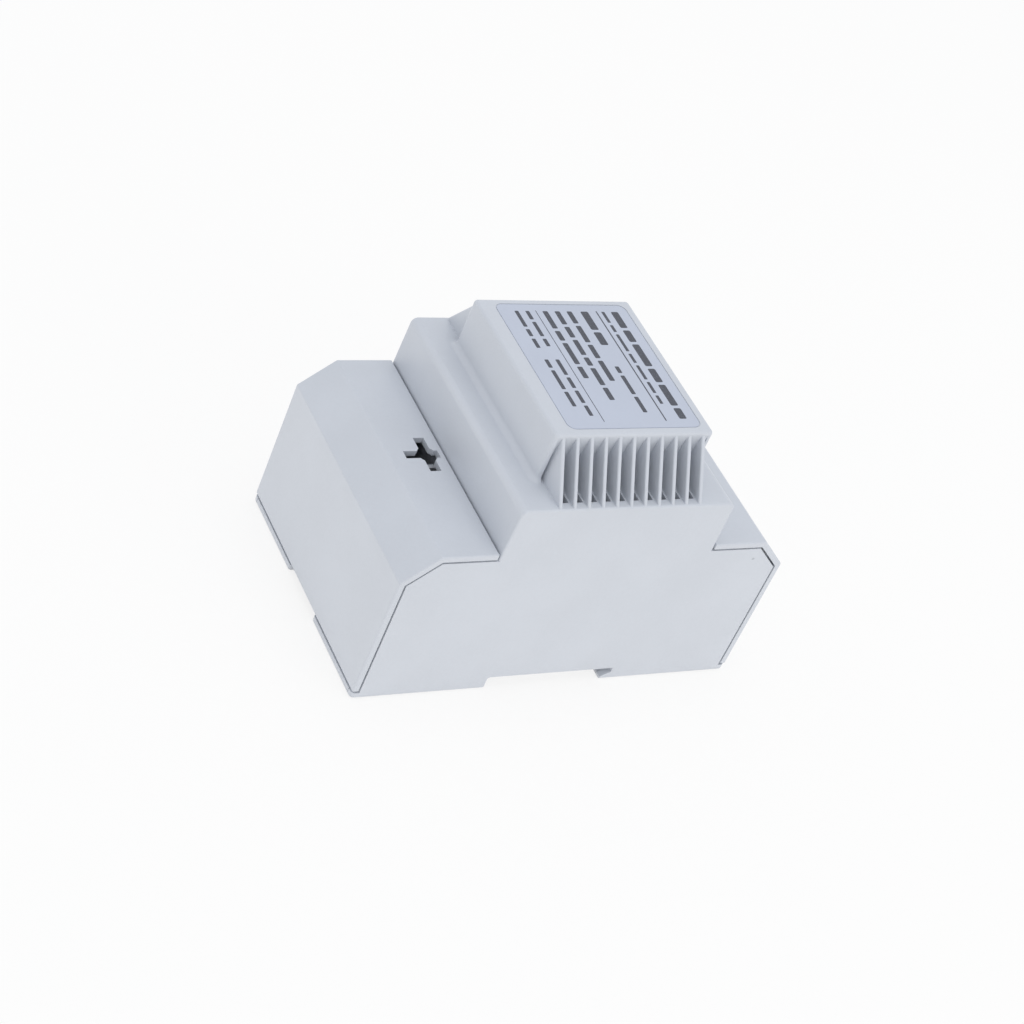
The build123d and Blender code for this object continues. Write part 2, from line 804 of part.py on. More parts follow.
# Bobbin round the middle leg, with two chambers and a pin rail at each end
with BuildPart() as bobbin:
    across = Plane(origin=(0, 0, core_middle), x_dir=(1, 0, 0), z_dir=(0, -1, 0))
    with BuildSketch(across):
        Rectangle(2 * tube_half_x, 2 * tube_half_z)
    extrude(amount=flange_face, both=True)
    with BuildSketch(across.offset(-flange_face), across.offset(flange_face - bobbin_flange)):
        Rectangle(2 * flange_half_x, 2 * flange_half_z)
    extrude(amount=bobbin_flange)
    with BuildSketch(across):
        Rectangle(2 * flange_half_x, 2 * flange_half_z)
    extrude(amount=bobbin_flange / 2, both=True)
    fillet(bobbin.edges().filter_by(Axis.Y).filter_by(
        lambda edge: abs(edge.center().X) > tube_half_x + bobbin_wall
    ), bobbin_flange)
    rail_half = terminal_x + pin_rail_end
    with BuildSketch(Plane.XY.offset(rail_top - pin_rail_height)):
        with GridLocations(0, 2 * flange_face + pin_rail_reach, 1, 2):
            Rectangle(2 * rail_half, pin_rail_reach)
    extrude(amount=pin_rail_height)
    with BuildSketch(across):
        Rectangle(2 * (tube_half_x - bobbin_wall), 2 * (tube_half_z - bobbin_wall))
    extrude(amount=flange_face, both=True, mode=Mode.SUBTRACT)
    for wing, side in wings:
        rail_end = wing_plane(0, side, flange_face + pin_rail_reach)
        with Locations(facing_out(rail_end, pin_z)):
            with GridLocations(2 * terminal_x, 0, 2, 1):
                Hole(pin_diameter / 2, depth=pin_socket)
bobbin.part.label = "bobbin"
export_step(bobbin.part, "parts/bobbin.step")

with BuildPart() as bobbin_pins:
    for wing, side in wings:
        rail_end = wing_plane(0, side, flange_face + pin_rail_reach)
        with BuildSketch(facing_out(rail_end, pin_z).offset(-pin_socket)):
            with GridLocations(2 * terminal_x, 0, 2, 1):
                Circle(pin_diameter / 2)
        extrude(amount=pin_length)
bobbin_pins.part.label = "bobbin_pins"
export_step(bobbin_pins.part, "parts/bobbin_pins.step")


# Windings in the bobbin's chambers, each under its insulation wrap
chamber_foot = bobbin_flange / 2 + winding_clearance
chamber_length = flange_face - bobbin_flange - winding_clearance - chamber_foot
coil_half_x = tube_half_x + winding_clearance
coil_half_z = tube_half_z + winding_clearance
for wing, side in wings:
    chamber = Plane(origin=(0, side * chamber_foot, core_middle), x_dir=(-side, 0, 0), z_dir=(0, side, 0))
    turns_x = coil_half_x + winding_build
    turns_z = coil_half_z + winding_build
    with BuildPart() as winding:
        with BuildSketch(chamber):
            RectangleRounded(2 * turns_x, 2 * turns_z, winding_round)
            Rectangle(2 * coil_half_x, 2 * coil_half_z, mode=Mode.SUBTRACT)
        extrude(amount=chamber_length)
    winding.part.label = f"{wing}_winding"
    export_step(winding.part, f"parts/{wing}_winding.step")

    with BuildPart() as wrap:
        with BuildSketch(chamber):
            RectangleRounded(
                2 * (turns_x + wrap_thickness),
                2 * (turns_z + wrap_thickness),
                winding_round + wrap_thickness,
            )
            RectangleRounded(2 * turns_x, 2 * turns_z, winding_round, mode=Mode.SUBTRACT)
        extrude(amount=chamber_length)
    wrap.part.label = f"{wing}_wrap"
    export_step(wrap.part, f"parts/{wing}_wrap.step")


# Terminals: body, rising cage, clamp screw, contact bar and the lead to the bobbin
for terminal, x, side in terminals:
    seat = wing_plane(x, side, terminal_face)
    on_deck = seat.offset(deck)

    with BuildPart() as terminal_body:
        with BuildSketch(on_deck):
            with Locations((0, terminal_depth / 2)):
                RectangleRounded(terminal_width, terminal_depth, terminal_corner)
        extrude(amount=terminal_height)
        fillet(terminal_body.faces().sort_by(Axis.Z)[-1].edges(), terminal_edge)
        with BuildSketch(on_deck):
            with Locations((0, pocket_middle)):
                Rectangle(pocket_width, pocket_depth)
        extrude(amount=pocket_roof, mode=Mode.SUBTRACT)
        with Locations(on_deck.offset(terminal_height)):
            with Locations((0, pocket_middle)):
                CounterBoreHole(
                    radius=clamp_diameter / 2 + clamp_fit,
                    counter_bore_radius=clamp_head_bore / 2,
                    counter_bore_depth=terminal_height - head_seat,
                    depth=terminal_height - pocket_roof,
                )
        with Locations(facing_out(on_deck, wire_floor + wire_space / 2)):
            CounterSinkHole(
                radius=entry_diameter / 2, counter_sink_radius=entry_funnel / 2, depth=entry_wall
            )
        with BuildSketch(facing_out(on_deck, bar_foot).offset(-terminal_depth)):
            with Locations((0, (bar_thickness + bar_slot_gap) / 2)):
                Rectangle(bar_width + 2 * bar_slot_gap, bar_thickness + bar_slot_gap)
        extrude(amount=back_wall, mode=Mode.SUBTRACT)
    terminal_body.part.label = f"{terminal}_terminal"
    export_step(terminal_body.part, f"parts/{terminal}_terminal.step")

    with BuildPart() as clamp_cage:
        with BuildSketch(on_deck.offset(cage_foot)):
            with Locations((0, pocket_middle)):
                Rectangle(cage_width, cage_depth)
        extrude(amount=cage_head - cage_foot)
        fillet(clamp_cage.edges().filter_by(Axis.Y), cage_bend)
        with BuildSketch(facing_out(on_deck, (wire_floor + cage_head_foot) / 2)):
            Rectangle(cage_width - 2 * cage_wall, cage_head_foot - wire_floor)
        extrude(amount=-terminal_depth, mode=Mode.SUBTRACT)
        with Locations(on_deck.offset(cage_head)):
            with Locations((0, pocket_middle)):
                Hole(clamp_diameter / 2 + clamp_fit, depth=clamp_thread)
    clamp_cage.part.label = f"{terminal}_cage"
    export_step(clamp_cage.part, f"parts/{terminal}_cage.step")

    with BuildPart() as clamp_screw:
        with BuildSketch(on_deck.offset(clamp_tip)):
            with Locations((0, pocket_middle)):
                Circle(clamp_diameter / 2)
        extrude(amount=head_foot - clamp_tip)
        with BuildSketch(on_deck.offset(head_foot)):
            with Locations((0, pocket_middle)):
                Circle(clamp_head / 2)
        extrude(amount=clamp_head_height)
        rims = clamp_screw.edges().filter_by(GeomType.CIRCLE).sort_by(Axis.Z)
        chamfer(rims[0], clamp_tip_edge)
        fillet(rims[-1], clamp_head_edge)
        with BuildSketch(on_deck.offset(head_top)):
            with Locations((0, pocket_middle)):
                Rectangle(clamp_head, clamp_slot_width)
        extrude(amount=-clamp_slot_depth, mode=Mode.SUBTRACT)
    clamp_screw.part.label = f"{terminal}_screw"
    export_step(clamp_screw.part, f"parts/{terminal}_screw.step")

    with BuildPart() as contact_bar:
        bar_start = entry_wall + cage_gap
        bar_end = terminal_depth + bar_tail
        with BuildSketch(on_deck.offset(bar_foot)):
            with Locations((0, (bar_start + bar_end) / 2)):
                Rectangle(bar_width, bar_end - bar_start)
        extrude(amount=bar_thickness)
    contact_bar.part.label = f"{terminal}_contact_bar"
    export_step(contact_bar.part, f"parts/{terminal}_contact_bar.step")

    with BuildPart() as lead:
        lead_y = side * (terminal_face - lead_in)
        with BuildLine():
            FilletPolyline(
                (x, lead_y, deck + bar_foot),
                (x, lead_y, pin_z),
                (x, side * pin_end, pin_z),
                radius=lead_bend,
            )
        with BuildSketch(on_deck.offset(bar_foot)):
            with Locations((0, lead_in)):
                Circle(lead_diameter / 2)
        sweep()
    lead.part.label = f"{terminal}_lead"
    export_step(lead.part, f"parts/{terminal}_lead.step")
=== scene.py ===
"""Looks of a four-module mains transformer for a 35 mm rail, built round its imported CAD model.

X runs along the rail, Y across it and Z up from the feet, in metres. The solids keep their shape and
get their finishes here. The label's print, the latch spring and the solder on the terminals are added.
"""

import logging
import math
from collections.abc import Iterable, Mapping, Sequence
from dataclasses import dataclass
from enum import Enum
from typing import Any, Union

import bmesh
import bpy
from mathutils import Matrix, Quaternion, Vector


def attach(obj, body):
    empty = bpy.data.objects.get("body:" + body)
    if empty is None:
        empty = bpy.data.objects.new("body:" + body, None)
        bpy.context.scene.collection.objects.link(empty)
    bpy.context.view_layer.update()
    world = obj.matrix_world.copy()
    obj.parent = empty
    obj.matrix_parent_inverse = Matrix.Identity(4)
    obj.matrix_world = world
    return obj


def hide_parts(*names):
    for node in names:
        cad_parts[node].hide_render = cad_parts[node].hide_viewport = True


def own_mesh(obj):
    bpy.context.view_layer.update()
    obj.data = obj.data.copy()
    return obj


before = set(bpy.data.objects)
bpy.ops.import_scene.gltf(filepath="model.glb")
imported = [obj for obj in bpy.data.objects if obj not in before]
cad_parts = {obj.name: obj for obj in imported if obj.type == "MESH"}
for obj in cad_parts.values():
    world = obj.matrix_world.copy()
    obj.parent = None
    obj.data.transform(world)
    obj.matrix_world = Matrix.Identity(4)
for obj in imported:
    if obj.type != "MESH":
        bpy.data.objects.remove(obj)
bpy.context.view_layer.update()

MM = 0.001
HALF = 0.5
FULL_TURN = 2.0 * math.pi
ROUND_PROFILE = 0.5
CASE = "case"

log = logging.getLogger("transformer")

Colour = tuple[float, float, float]
Point = tuple[float, float, float]
Number = Union[int, float]
Normal = Union[bpy.types.NodeSocket, None]
Span = tuple[float, float]

WHITE: Colour = (1.0, 1.0, 1.0)
WARM: Colour = (1.0, 0.97, 0.92)


class Detail(Enum):
    """How many finer layers a noise has."""

    PLAIN = 1.0
    FINE = 2.0
    CLOUDY = 3.0
    BROKEN = 4.0


class Signal:
    """A number that varies over a surface, with arithmetic that adds Math nodes."""

    def __init__(self, graph: "NodeGraph", socket: bpy.types.NodeSocket) -> None:
        """Wrap an output socket.

        Args:
            graph: The nodes that the socket is among.
            socket: The output that carries the number.
        """
        self.graph = graph
        self.socket = socket

    def _math(self, operation: str, first: "Operand", second: "Operand") -> "Signal":
        """Add one Math node.

        Args:
            operation: Blender's name for the operation.
            first: The upper input.
            second: The lower input.

        Returns:
            The node's result.
        """
        made = self.graph.node("ShaderNodeMath", {"operation": operation}, {0: first, 1: second})
        return Signal(self.graph, made.outputs[0])

    def __add__(self, other: "Operand") -> "Signal":
        """Sum of two numbers."""
        return self._math("ADD", self, other)

    def __radd__(self, other: Number) -> "Signal":
        """Sum with a plain number on the left."""
        return self._math("ADD", other, self)

    def __sub__(self, other: "Operand") -> "Signal":
        """Difference of two numbers."""
        return self._math("SUBTRACT", self, other)

    def __rsub__(self, other: Number) -> "Signal":
        """Difference from a plain number."""
        return self._math("SUBTRACT", other, self)

    def __mul__(self, other: "Operand") -> "Signal":
        """Product of two numbers."""
        return self._math("MULTIPLY", self, other)

    def __rmul__(self, other: Number) -> "Signal":
        """Product with a plain number on the left."""
        return self._math("MULTIPLY", other, self)

    def __pow__(self, power: Number) -> "Signal":
        """The number raised to a power."""
        return self._math("POWER", self, power)

    def sine(self) -> "Signal":
        """Sine of the number in radians."""
        return self._math("SINE", self, 0.0)

    def root(self) -> "Signal":
        """Square root of the number."""
        return self._math("SQRT", self, 0.0)

    def waves(self, pitch: float) -> "Signal":
        """Rise and fall between 0 and 1 once in every pitch."""
        return (self * (FULL_TURN / pitch)).sine() * HALF + HALF

    def ramp(self, low: Number, high: Number) -> "Signal":
        """Rise smoothly from 0 to 1 between two values.

        Args:
            low: Where the rise starts.
            high: Where it ends, which may be below the start for a fall.

        Returns:
            The eased share.
        """
        settings = {"interpolation_type": "SMOOTHSTEP", "clamp": True}
        inputs = {"Value": self, "From Min": low, "From Max": high}
        made = self.graph.node("ShaderNodeMapRange", settings, inputs)
        return Signal(self.graph, made.outputs["Result"])


Operand = Union[Signal, Number]


class NodeGraph:
    """The nodes of one material or sky."""

    def __init__(self, tree: bpy.types.NodeTree) -> None:
        """Start with no nodes.

        Args:
            tree: The material's or the world's own tree.
        """
        self.nodes = tree.nodes
        self.links = tree.links
        self.nodes.clear()

    def node(
        self,
        kind: str,
        settings: Mapping[str, Any] | None = None,
        inputs: Mapping[int | str, Any] | None = None,
    ) -> bpy.types.Node:
        """Add a node of any kind.

        Args:
            kind: Blender's name for the node's type.
            settings: Properties of the node, set before its sockets.
            inputs: Values, signals or sockets for its inputs, by name or place.

        Returns:
            The node.
        """
        made = self.nodes.new(kind)
        for name, value in (settings or {}).items():
            setattr(made, name, value)
        for key, value in (inputs or {}).items():
            self.feed(made.inputs[key], value)
        return made

    def feed(self, socket: bpy.types.NodeSocket, value: Any) -> None:
        """Set or link one input.

        Args:
            socket: The input.
            value: A signal or output socket to link, or a plain value.
        """
        if isinstance(value, Signal):
            self.links.new(value.socket, socket)
        elif isinstance(value, bpy.types.NodeSocket):
            self.links.new(value, socket)
        else:
            socket.default_value = value

    def backdrop_rays(self) -> Signal:
        """1 for the rays that show the backdrop, seen directly, in metal or through glass."""
        path = self.node("ShaderNodeLightPath")
        direct, mirrored, through = (
            Signal(self, path.outputs[f"Is {kind} Ray"]) for kind in ("Camera", "Glossy", "Transmission")
        )
        return direct + mirrored + through


class ShaderTree(NodeGraph):
    """One material's nodes, with a principled surface to feed."""

    def __init__(self, name: str) -> None:
        """Start a material with only a surface and its output.

        Args:
            name: The material's name.
        """
        self.material = bpy.data.materials.new(name)
        self.material.use_nodes = True
        super().__init__(self.material.node_tree)
        self.surface = self.node("ShaderNodeBsdfPrincipled")
        self.output = self.node("ShaderNodeOutputMaterial", None, {"Surface": self.surface.outputs["BSDF"]})

    def dress(self, **inputs: Any) -> None:
        """Feed the principled surface, with underscores for the spaces in its socket names."""
        for name, value in inputs.items():
            self.feed(self.surface.inputs[name.replace("_", " ").title().replace("Ior", "IOR")], value)

    def place(self) -> bpy.types.NodeSocket:
        """Object coordinates, which are the model's own frame in metres."""
        return self.node("ShaderNodeTexCoord").outputs["Object"]

    def axes(self) -> tuple[Signal, Signal, Signal]:
        """Object coordinates as three numbers."""
        split = self.node("ShaderNodeSeparateXYZ", None, {0: self.place()})
        x, y, z = (Signal(self, socket) for socket in split.outputs)
        return x, y, z

    def noise(self, size: float, detail: Detail = Detail.FINE, stretch: Point = (1.0, 1.0, 1.0)) -> Signal:
        """Cloudy variation from 0 to 1.

        Args:
            size: About how far one cloud reaches, in metres.
            detail: How many finer layers it has.
            stretch: How much longer the clouds are along each axis.

        Returns:
            The variation.
        """
        scale = tuple(1.0 / (size * share) for share in stretch)
        mapped = self.node("ShaderNodeMapping", None, {"Vector": self.place(), "Scale": scale})
        inputs = {"Vector": mapped.outputs[0], "Scale": 1.0, "Detail": detail.value}
        made = self.node("ShaderNodeTexNoise", None, inputs)
        return Signal(self, made.outputs["Fac"])

    def blend(self, share: Operand, first: Any, second: Any) -> bpy.types.NodeSocket:
        """Mix two colours.

        Args:
            share: How much of the second one shows.
            first: A colour or a colour socket.
            second: A colour or a colour socket.

        Returns:
            The mixed colour.
        """
        full = [value + (1.0,) if isinstance(value, tuple) else value for value in (first, second)]
        made = self.node("ShaderNodeMix", {"data_type": "RGBA"}, {0: share, 6: full[0], 7: full[1]})
        return made.outputs[2]

    def bump(self, height: Signal, depth: float, under: Normal = None) -> bpy.types.NodeSocket:
        """Turn a height from 0 to 1 into a normal.

        Args:
            height: The height over the surface.
            depth: How far the full height stands up, in metres.
            under: A normal that this one lies on.

        Returns:
            The bent normal.
        """
        inputs = {"Strength": 1.0, "Distance": depth, "Height": height}
        if under is not None:
            inputs["Normal"] = under
        return self.node("ShaderNodeBump", None, inputs).outputs[0]


def shade(colour: Colour, factor: float) -> Colour:
    """A colour made lighter or darker.

    Args:
        colour: The colour.
        factor: What each channel is multiplied by.

    Returns:
        The new colour.
    """
    return (colour[0] * factor, colour[1] * factor, colour[2] * factor)


def two_tones(colour: Colour, depth: float) -> tuple[Colour, Colour]:
    """A darker and a lighter tone of a colour.

    Args:
        colour: The colour between them.
        depth: How far each tone is from it, as a share.

    Returns:
        The darker tone and the lighter one.
    """
    return shade(colour, 1.0 - depth), shade(colour, 1.0 + depth)


@dataclass(frozen=True)
class MouldedPlastic:
    """Injection moulding: a fine even grain, faint flow clouds, and a gate mark where one shows."""

    name: str
    colour: Colour
    roughness: float = 0.40
    grain: float = 0.16 * MM
    grain_depth: float = 0.0035 * MM
    speck: float = 0.8 * MM
    speck_share: float = 0.25
    cloud: float = 19.0 * MM
    cloud_depth: float = 0.022
    tone_span: Span = (0.3, 0.7)
    cloud_gloss: float = 0.10
    grain_gloss: float = 0.06
    gate_mark: Point | None = None
    gate_radius: float = 0.42 * MM
    gate_edge: float = 0.10 * MM
    gate_depth: float = 0.06 * MM
    gate_cover: float = 0.4
    gate_shade: float = 0.45

    def material(self) -> bpy.types.Material:
        """The plastic's material."""
        tree = ShaderTree(self.name)
        clouds = tree.noise(self.cloud, Detail.CLOUDY)
        specks = tree.noise(self.speck, Detail.PLAIN)
        tone = (clouds * (1.0 - self.speck_share) + specks * self.speck_share).ramp(*self.tone_span)
        colour = tree.blend(tone, *two_tones(self.colour, self.cloud_depth))
        grain = tree.noise(self.grain)
        normal = tree.bump(grain, self.grain_depth)
        if self.gate_mark is not None:
            mark = self.mark(tree)
            colour = tree.blend(mark * self.gate_cover, colour, shade(self.colour, self.gate_shade))
            normal = tree.bump(1.0 - mark, self.gate_depth, normal)
        gloss = (clouds - HALF) * self.cloud_gloss + (grain - HALF) * self.grain_gloss
        tree.dress(base_color=colour, roughness=self.roughness + gloss, normal=normal)
        return tree.material

    def mark(self, tree: ShaderTree) -> Signal:
        """The round mark that the moulding's gate leaves.

        Args:
            tree: The tree to add it to.

        Returns:
            A mask that is 1 inside the mark.
        """
        reach = [(axis - middle) ** 2 for axis, middle in zip(tree.axes(), self.gate_mark)]
        away = (reach[0] + reach[1] + reach[2]).root()
        return away.ramp(self.gate_radius + self.gate_edge, self.gate_radius - self.gate_edge)


@dataclass(frozen=True)
class SatinFoil:
    """Printed label film: a pale satin with a fine brushed lay along the rail."""

    name: str
    colour: Colour
    roughness: float = 0.36
    lay: float = 0.12 * MM
    lay_stretch: float = 40.0
    lay_depth: float = 0.0012 * MM
    lay_gloss: float = 0.12
    lay_share: float = 0.35
    cloud: float = 14.0 * MM
    tone_span: Span = (0.3, 0.7)
    tone_depth: float = 0.025
    coat: float = 0.15
    coat_roughness: float = 0.3

    def material(self) -> bpy.types.Material:
        """The film's material."""
        tree = ShaderTree(self.name)
        brushed = tree.noise(self.lay, stretch=(self.lay_stretch, 1.0, 1.0))
        clouds = tree.noise(self.cloud)
        tone = (brushed * self.lay_share + clouds * (1.0 - self.lay_share)).ramp(*self.tone_span)
        tree.dress(
            base_color=tree.blend(tone, *two_tones(self.colour, self.tone_depth)),
            roughness=self.roughness + (brushed - HALF) * self.lay_gloss,
            normal=tree.bump(brushed, self.lay_depth),
            coat_weight=self.coat,
            coat_roughness=self.coat_roughness,
        )
        return tree.material


@dataclass(frozen=True)
class PrintInk:
    """Screen-printed ink, a little uneven where the film shows through."""

    name: str
    colour: Colour
    mottle: float = 0.35 * MM
    cover_span: Span = (0.28, 0.5)
    thin_shade: float = 1.7
    roughness: float = 0.42
    cover_gloss: float = 0.08

    def material(self) -> bpy.types.Material:
        """The ink's material."""
        tree = ShaderTree(self.name)
        cover = tree.noise(self.mottle, Detail.CLOUDY).ramp(*self.cover_span)
        tree.dress(
            base_color=tree.blend(cover, shade(self.colour, self.thin_shade), self.colour),
            roughness=self.roughness + cover * self.cover_gloss,
        )
        return tree.material


@dataclass(frozen=True)
class StackedSheet:
    """Edges of varnished lamination sheets, with a dark line at every joint and brown varnish runs."""

    name: str
    steel: Colour = (0.115, 0.120, 0.130)
    varnish: Colour = (0.110, 0.062, 0.026)
    sheet: float = 0.5 * MM
    joint_span: Span = (0.05, 0.55)
    joint_shade: float = 0.25
    joint_depth: float = 0.05 * MM
    run: float = 5.0 * MM
    run_span: Span = (0.45, 0.7)
    run_cover: float = 0.55
    run_gloss: float = 0.16
    burr: float = 0.3 * MM
    burr_stretch: float = 12.0
    burr_share: float = 0.4
    burr_gloss: float = 0.1
    metal: float = 0.75
    metal_hidden: float = 0.5
    roughness: float = 0.48

    def material(self) -> bpy.types.Material:
        """The stack's material."""
        tree = ShaderTree(self.name)
        _, _, z = tree.axes()
        edge = z.waves(self.sheet).ramp(*self.joint_span)
        runs = tree.noise(self.run, Detail.BROKEN).ramp(*self.run_span)
        burr = tree.noise(self.burr, stretch=(self.burr_stretch, self.burr_stretch, 1.0))
        lit = edge * (1.0 - self.burr_share + burr * self.burr_share)
        bright = tree.blend(lit, shade(self.steel, self.joint_shade), self.steel)
        tree.dress(
            base_color=tree.blend(runs * self.run_cover, bright, self.varnish),
            metallic=self.metal - runs * self.metal_hidden,
            roughness=self.roughness - runs * self.run_gloss + burr * self.burr_gloss,
            normal=tree.bump(edge, self.joint_depth),
        )
        return tree.material


@dataclass(frozen=True)
class WoundWire:
    """Layers of enamelled wire, laid turn by turn along the bobbin, with painted shade in the grooves
    between the turns.
    """

    name: str
    copper: Colour = (0.56, 0.205, 0.075)
    turn: float = 0.45 * MM
    turn_depth: float = 0.12 * MM
    crown_power: float = 0.6
    groove_span: Span = (0.1, 0.6)
    groove_shade: float = 0.25
    tint: float = 3.0 * MM
    tint_span: Span = (0.3, 0.7)
    tint_shades: Span = (0.8, 1.1)
    tint_gloss: float = 0.08
    metal: float = 0.85
    roughness: float = 0.3
    enamel: float = 0.4
    enamel_roughness: float = 0.15

    def material(self) -> bpy.types.Material:
        """The winding's material."""
        tree = ShaderTree(self.name)
        _, y, _ = tree.axes()
        crown = y.waves(self.turn) ** self.crown_power
        tint = tree.noise(self.tint, Detail.CLOUDY).ramp(*self.tint_span)
        low, high = self.tint_shades
        lit = tree.blend(tint, shade(self.copper, low), shade(self.copper, high))
        # Painted shade: the grooves between the turns are coloured a darker copper.
        painted_groove_shade = shade(self.copper, self.groove_shade)
        tree.dress(
            base_color=tree.blend(crown.ramp(*self.groove_span), painted_groove_shade, lit),
            metallic=self.metal,
            roughness=self.roughness + tint * self.tint_gloss,
            coat_weight=self.enamel,
            coat_roughness=self.enamel_roughness,
            normal=tree.bump(crown, self.turn_depth),
        )
        return tree.material


@dataclass(frozen=True)
class WindingTape:
    """Polyester tape, wound on in overlapping turns, with painted shade along each turn's edge and in the
    creases.
    """

    name: str
    colour: Colour
    overlap: float = 4.6 * MM
    edge_span: Span = (0.92, 0.99)
    painted_shade_tone: float = 0.6
    edge_painted_shade: float = 0.5
    crease: float = 2.5 * MM
    crease_stretch: float = 3.0
    crease_span: Span = (0.35, 0.65)
    crease_painted_shade: float = 0.2
    crease_gloss: float = 0.12
    roughness: float = 0.28
    depth: float = 0.03 * MM

    def material(self) -> bpy.types.Material:
        """The tape's material."""
        tree = ShaderTree(self.name)
        _, y, _ = tree.axes()
        edge = y.waves(self.overlap).ramp(*self.edge_span)
        creased = tree.noise(self.crease, Detail.BROKEN, (1.0, self.crease_stretch, 1.0))
        creases = creased.ramp(*self.crease_span)
        # Painted shade: the tape is coloured darker along each turn's overlapping edge and in the creases.
        cover = edge * self.edge_painted_shade + creases * self.crease_painted_shade
        tree.dress(
            base_color=tree.blend(cover, self.colour, shade(self.colour, self.painted_shade_tone)),
            roughness=self.roughness + creases * self.crease_gloss,
            normal=tree.bump(creases * HALF + edge * HALF, self.depth),
        )
        return tree.material


@dataclass(frozen=True)
class PlatedMetal:
    """Plated fitting: fine turning or rolling lines, dulled in clouds."""

    name: str
    colour: Colour
    roughness: float = 0.30
    line: float = 0.10 * MM
    along: Point = (8.0, 8.0, 1.0)
    line_depth: float = 0.004 * MM
    line_gloss: float = 0.12
    dull: float = 2.2 * MM
    dull_span: Span = (0.4, 0.75)
    dull_cover: float = 0.5
    dull_shade: float = 0.68
    dull_gloss: float = 0.18

    def material(self) -> bpy.types.Material:
        """The metal's material."""
        tree = ShaderTree(self.name)
        lines = tree.noise(self.line, stretch=self.along)
        dull = tree.noise(self.dull, Detail.BROKEN).ramp(*self.dull_span)
        dark = shade(self.colour, self.dull_shade)
        tree.dress(
            base_color=tree.blend(dull * self.dull_cover, self.colour, dark),
            metallic=1.0,
            roughness=self.roughness + dull * self.dull_gloss + (lines - HALF) * self.line_gloss,
            normal=tree.bump(lines, self.line_depth),
        )
        return tree.material


@dataclass(frozen=True)
class LeadSleeve:
    """Extruded insulation, smooth with a slight waxy sheen."""

    name: str
    colour: Colour
    draw: float = 0.5 * MM
    draw_stretch: float = 6.0
    draw_depth: float = 0.008 * MM
    draw_gloss: float = 0.1
    tone_span: Span = (0.3, 0.7)
    tone_depth: float = 0.15
    roughness: float = 0.38

    def material(self) -> bpy.types.Material:
        """The insulation's material."""
        tree = ShaderTree(self.name)
        skin = tree.noise(self.draw, stretch=(1.0, 1.0, self.draw_stretch))
        tones = two_tones(self.colour, self.tone_depth)
        tree.dress(
            base_color=tree.blend(skin.ramp(*self.tone_span), *tones),
            roughness=self.roughness + (skin - HALF) * self.draw_gloss,
            normal=tree.bump(skin, self.draw_depth),
        )
        return tree.material


@dataclass(frozen=True)
class Solder:
    """Soft solder, bright with a frosted bloom."""

    name: str
    colour: Colour = (0.66, 0.66, 0.68)
    bloom: float = 0.4 * MM
    bloom_span: Span = (0.4, 0.65)
    bloom_shade: float = 0.8
    bloom_depth: float = 0.01 * MM
    bloom_gloss: float = 0.25
    roughness: float = 0.2

    def material(self) -> bpy.types.Material:
        """The solder's material."""
        tree = ShaderTree(self.name)
        frost = tree.noise(self.bloom, Detail.BROKEN).ramp(*self.bloom_span)
        tree.dress(
            base_color=tree.blend(frost, self.colour, shade(self.colour, self.bloom_shade)),
            metallic=1.0,
            roughness=self.roughness + frost * self.bloom_gloss,
            normal=tree.bump(frost, self.bloom_depth),
        )
        return tree.material


class Wing(Enum):
    """The two wings, by the side of the rail that they stand on."""

    PRIMARY = -1
    SECONDARY = 1

    @property
    def title(self) -> str:
        """The wing's name in the model."""
        return self.name.lower()


class Sleeve(Enum):
    """Colours of the leads' insulation."""

    BROWN = (0.100, 0.040, 0.020)
    BLUE = (0.030, 0.100, 0.350)
    BLACK = (0.022, 0.022, 0.024)

    @property
    def title(self) -> str:
        """The insulation's name as a finish."""
        return f"{self.name.lower()}_lead"


class Pole(Enum):
    """The four terminals, as their wing, their side along the rail and their lead's insulation."""

    PRIMARY_LIVE = (Wing.PRIMARY, -1, Sleeve.BROWN)
    PRIMARY_NEUTRAL = (Wing.PRIMARY, 1, Sleeve.BLUE)
    SECONDARY_A = (Wing.SECONDARY, -1, Sleeve.BLACK)
    SECONDARY_B = (Wing.SECONDARY, 1, Sleeve.BLACK)

    @property
    def title(self) -> str:
        """The terminal's name in the model."""
        return self.name.lower()


def paint(node: str, material: bpy.types.Material) -> None:
    """Give a CAD node its finish.

    Args:
        node: The node's name.
        material: The finish.
    """
    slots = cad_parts[node].data.materials
    slots.clear()
    slots.append(material)
    log.info("finished %s in %s", node, material.name)


def make_piece(
    name: str, mesh: bmesh.types.BMesh, material: bpy.types.Material, smooth: bool = False
) -> bpy.types.Object:
    """Turn a bmesh into a piece that rides on the case.

    Args:
        name: The piece's name.
        mesh: Its shape, which is freed.
        material: Its finish.
        smooth: Whether its faces are shaded smooth.

    Returns:
        The piece's object.
    """
    data = bpy.data.meshes.new(name)
    bmesh.ops.recalc_face_normals(mesh, faces=mesh.faces)
    for face in mesh.faces:
        face.smooth = smooth
    mesh.to_mesh(data)
    mesh.free()
    data.materials.append(material)
    piece = bpy.data.objects.new(name, data)
    bpy.context.scene.collection.objects.link(piece)
    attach(piece, CASE)
    log.info("made %s with %d faces", name, len(data.polygons))
    return piece


def round_off(mesh: bmesh.types.BMesh, geom: Sequence[Any], radius: float, affect: str, steps: int) -> None:
    """Round edges or corners.

    Args:
        mesh: The mesh that they are in.
        geom: The edges or vertices.
        radius: How far the rounding reaches.
        affect: Whether EDGES or VERTICES are rounded.
        steps: How many faces or sides the rounding has.
    """
    bmesh.ops.bevel(
        mesh,
        geom=geom,
        offset=radius,
        offset_type="OFFSET",
        affect=affect,
        segments=steps,
        profile=ROUND_PROFILE,
        material=-1,
    )


